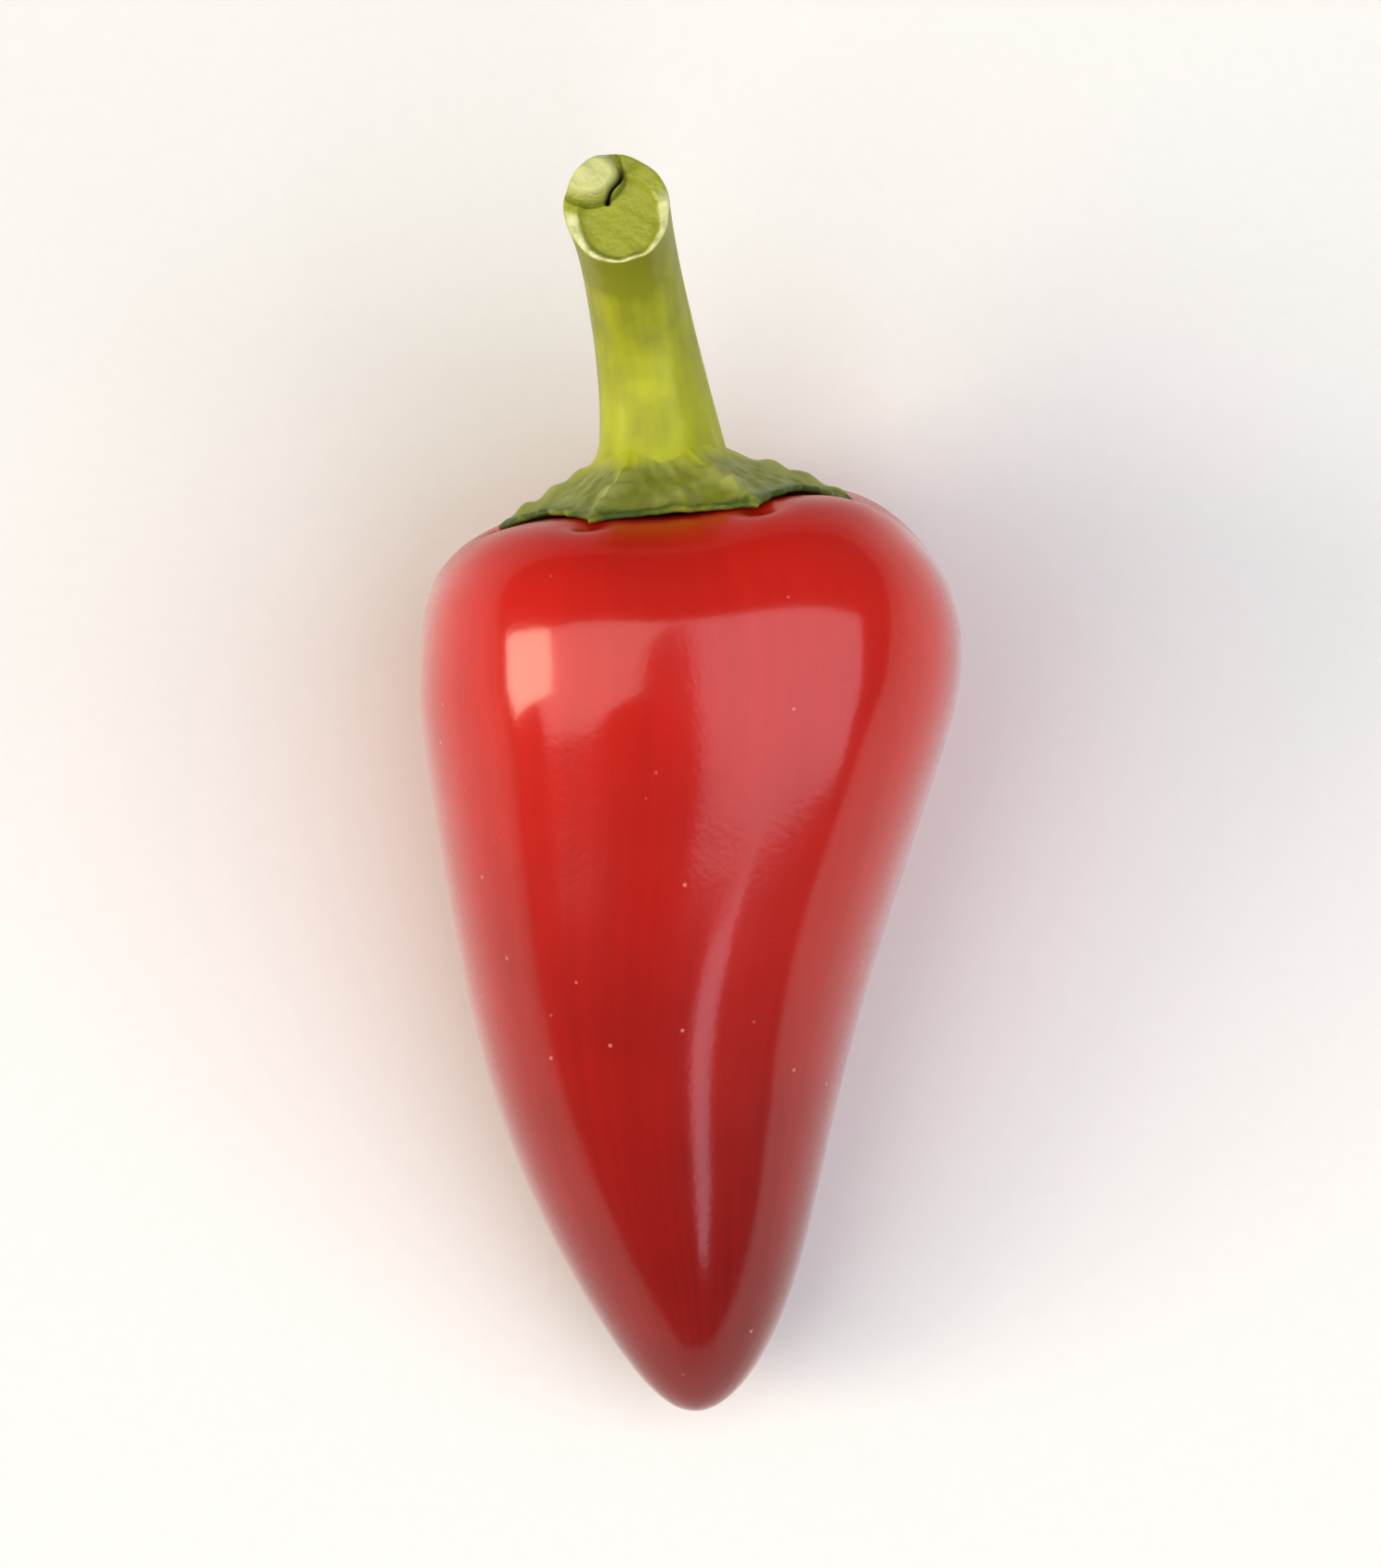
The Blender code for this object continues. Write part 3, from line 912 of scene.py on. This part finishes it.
def softbox(name, corner, along, down, radiance, tint):
    """A rectangular light from one corner and its two edges, in metres. It shines to the side
    from which the corner, the first edge and the second run clockwise. Its power is its
    radiance times pi times its area."""
    along, down = Vector(along), Vector(down)
    light = bpy.data.lights.new(name, "AREA")
    light.shape = "RECTANGLE"
    light.size, light.size_y = along.length, down.length
    light.energy = radiance * np.pi * along.length * down.length
    light.color = linear(tint)[:3]
    made = bpy.data.objects.new(name, light)
    bpy.context.scene.collection.objects.link(made)
    turn = Matrix((along.normalized(), -down.normalized(), -along.cross(down).normalized()))
    middle = Vector(corner) + (along + down) / 2
    made.matrix_world = Matrix.Translation(middle) @ turn.transposed().to_4x4()
    made.visible_camera = False


def diffusion_cloth(radiance, tint):
    """Woven white diffusion cloth, stretched flat and lit from behind: the weave spreads the
    lamp's light evenly, so that a glossy skin mirrors it as one soft patch with a clean edge."""
    material, tree, output = new_material("woven_diffusion_cloth")
    glow = node(tree, "ShaderNodeEmission", {"Color": linear(tint), "Strength": radiance})
    tree.links.new(glow.outputs[0], output.inputs[0])
    return material


def lit_cloth(name, corners, radiance, tint):
    """A taut sheet of diffusion cloth, evenly lit: a flat mesh between these corners, in metres.
    It glows, the camera doesn't see it, and it casts no shadow in the other lights."""
    mesh = bpy.data.meshes.new(name)
    mesh.from_pydata(corners, [], [range(len(corners))])
    mesh.materials.append(diffusion_cloth(radiance, tint))
    made = bpy.data.objects.new(name, mesh)
    bpy.context.scene.collection.objects.link(made)
    made.visible_camera = made.visible_shadow = False


class CHILLI_OT_stage(bpy.types.Operator):
    """Build the stage: the paper floor with its cove, the lights, the world and the camera."""

    bl_idname = "chilli.stage"
    bl_label = "Build Stage"

    def execute(self, context):
        stage = context.scene.chilli.stage
        scene = context.scene
        turn = np.linspace(0, np.pi / 2, 17)[1:]
        flat = np.linspace(0, 1, 25)[1:] * stage.floor_radius
        radius = np.concatenate([flat, stage.floor_radius + stage.floor_curve * np.sin(turn)])
        height = np.concatenate([0 * flat, stage.floor_curve * (1 - np.cos(turn))])
        index = np.arange(len(radius) * 96).reshape(-1, 96)
        a = around(96)
        points = np.stack(
            [radius[:, None] * np.cos(a), radius[:, None] * np.sin(a), height[:, None] + 0 * a], -1
        ).reshape(-1, 3)
        right = np.roll(index, -1, axis=1)
        quads = np.stack([index[:-1], index[1:], right[1:], right[:-1]], -1).reshape(-1, 4)
        middle = np.stack([np.full(96, len(points)), index[0], right[0]], -1)
        mesh = bpy.data.meshes.new("paper_floor")
        mesh.from_pydata(np.append(points, [[0, 0, 0]], 0), [], quads.tolist() + middle.tolist())
        mesh.shade_smooth()
        mesh.materials.append(studio_paper(stage))
        floor = bpy.data.objects.new("paper_floor", mesh)
        scene.collection.objects.link(floor)

        # The pod mirrors each cloth as a broad highlight on its own side, the window as the
        # brightest patch on the left and the strip as a streak towards the tip
        right = [(-0.05, 0.38, 1.6), (1.57, 0.12, 1.0), (2.07, -1.455, 0.766), (0.075, -1.23, 1.5)]
        lit_cloth("cloth_right", right, 2.4, "#f3f4ff")
        left = [(-0.06, 0.34, 1.6), (-0.33, -0.53, 1.6), (-0.95, -1.25, 1.6), (-2.5, -1.68, 1.6)]
        left += [(-2.5, -1.0, 1.6), (-1.72, -0.66, 1.6), (-1.72, 0.02, 1.6)]
        lit_cloth("cloth_left", left, 2.5, "#fbf8f4")
        softbox("softbox_strip", (0.50, -1.65, 1.6), (0.40, 0, 0), (0, -1.6, 0), 2.6, "#eceeff")
        softbox("window_left", (-2.58, 0.05, 2.4), (0.20, -0.98, 0), (0, 0, -1.7), 7.8, "#fff3da")

        world = bpy.data.worlds.new("studio_air")
        scene.world = world
        world.use_nodes = True
        background = world.node_tree.nodes["Background"]
        background.inputs["Color"].default_value = linear("#f4f6ff")
        background.inputs["Strength"].default_value = stage.air

        camera = bpy.data.cameras.new("camera")
        camera.lens = stage.lens
        camera.clip_start = 0.01
        made = bpy.data.objects.new("camera", camera)
        scene.collection.objects.link(made)
        target = Vector((-0.0001, 0.0006, 0.014))
        made.location = target + stage.away * Vector((0, -np.cos(stage.view), np.sin(stage.view)))
        made.rotation_euler = (np.pi / 2 - stage.view, 0, 0)
        scene.camera = made
        scene.view_settings.view_transform = "Standard"
        scene.view_settings.gamma = 0.88
        return {"FINISHED"}


class CHILLI_PT_panel(bpy.types.Panel):
    """The sidebar panel with every size, colour and operator."""

    bl_idname = "CHILLI_PT_panel"
    bl_label = "Chilli Pepper"
    bl_space_type = "VIEW_3D"
    bl_region_type = "UI"
    bl_category = "Chilli"

    def draw(self, context):
        sizes = context.scene.chilli
        for group, operator in (
            (sizes.pod, CHILLI_OT_pod),
            (sizes.calyx, CHILLI_OT_calyx),
            (sizes.stem, CHILLI_OT_stem),
            (sizes.stage, CHILLI_OT_stage),
        ):
            box = self.layout.box()
            for name in group.__annotations__:
                box.prop(group, name)
            box.operator(operator.bl_idname)


CLASSES = (
    CHILLI_PG_pod,
    CHILLI_PG_calyx,
    CHILLI_PG_stem,
    CHILLI_PG_stage,
    CHILLI_PG_all,
    CHILLI_OT_pod,
    CHILLI_OT_calyx,
    CHILLI_OT_stem,
    CHILLI_OT_stage,
    CHILLI_PT_panel,
)


def register():
    for cls in CLASSES:
        bpy.utils.register_class(cls)
    bpy.types.Scene.chilli = bpy.props.PointerProperty(type=CHILLI_PG_all)


def unregister():
    del bpy.types.Scene.chilli
    for cls in reversed(CLASSES):
        bpy.utils.unregister_class(cls)


def main():
    register()
    bpy.ops.chilli.stage()
    bpy.ops.chilli.pod()
    bpy.ops.chilli.calyx()
    bpy.ops.chilli.stem()


if __name__ == "__main__":
    main()
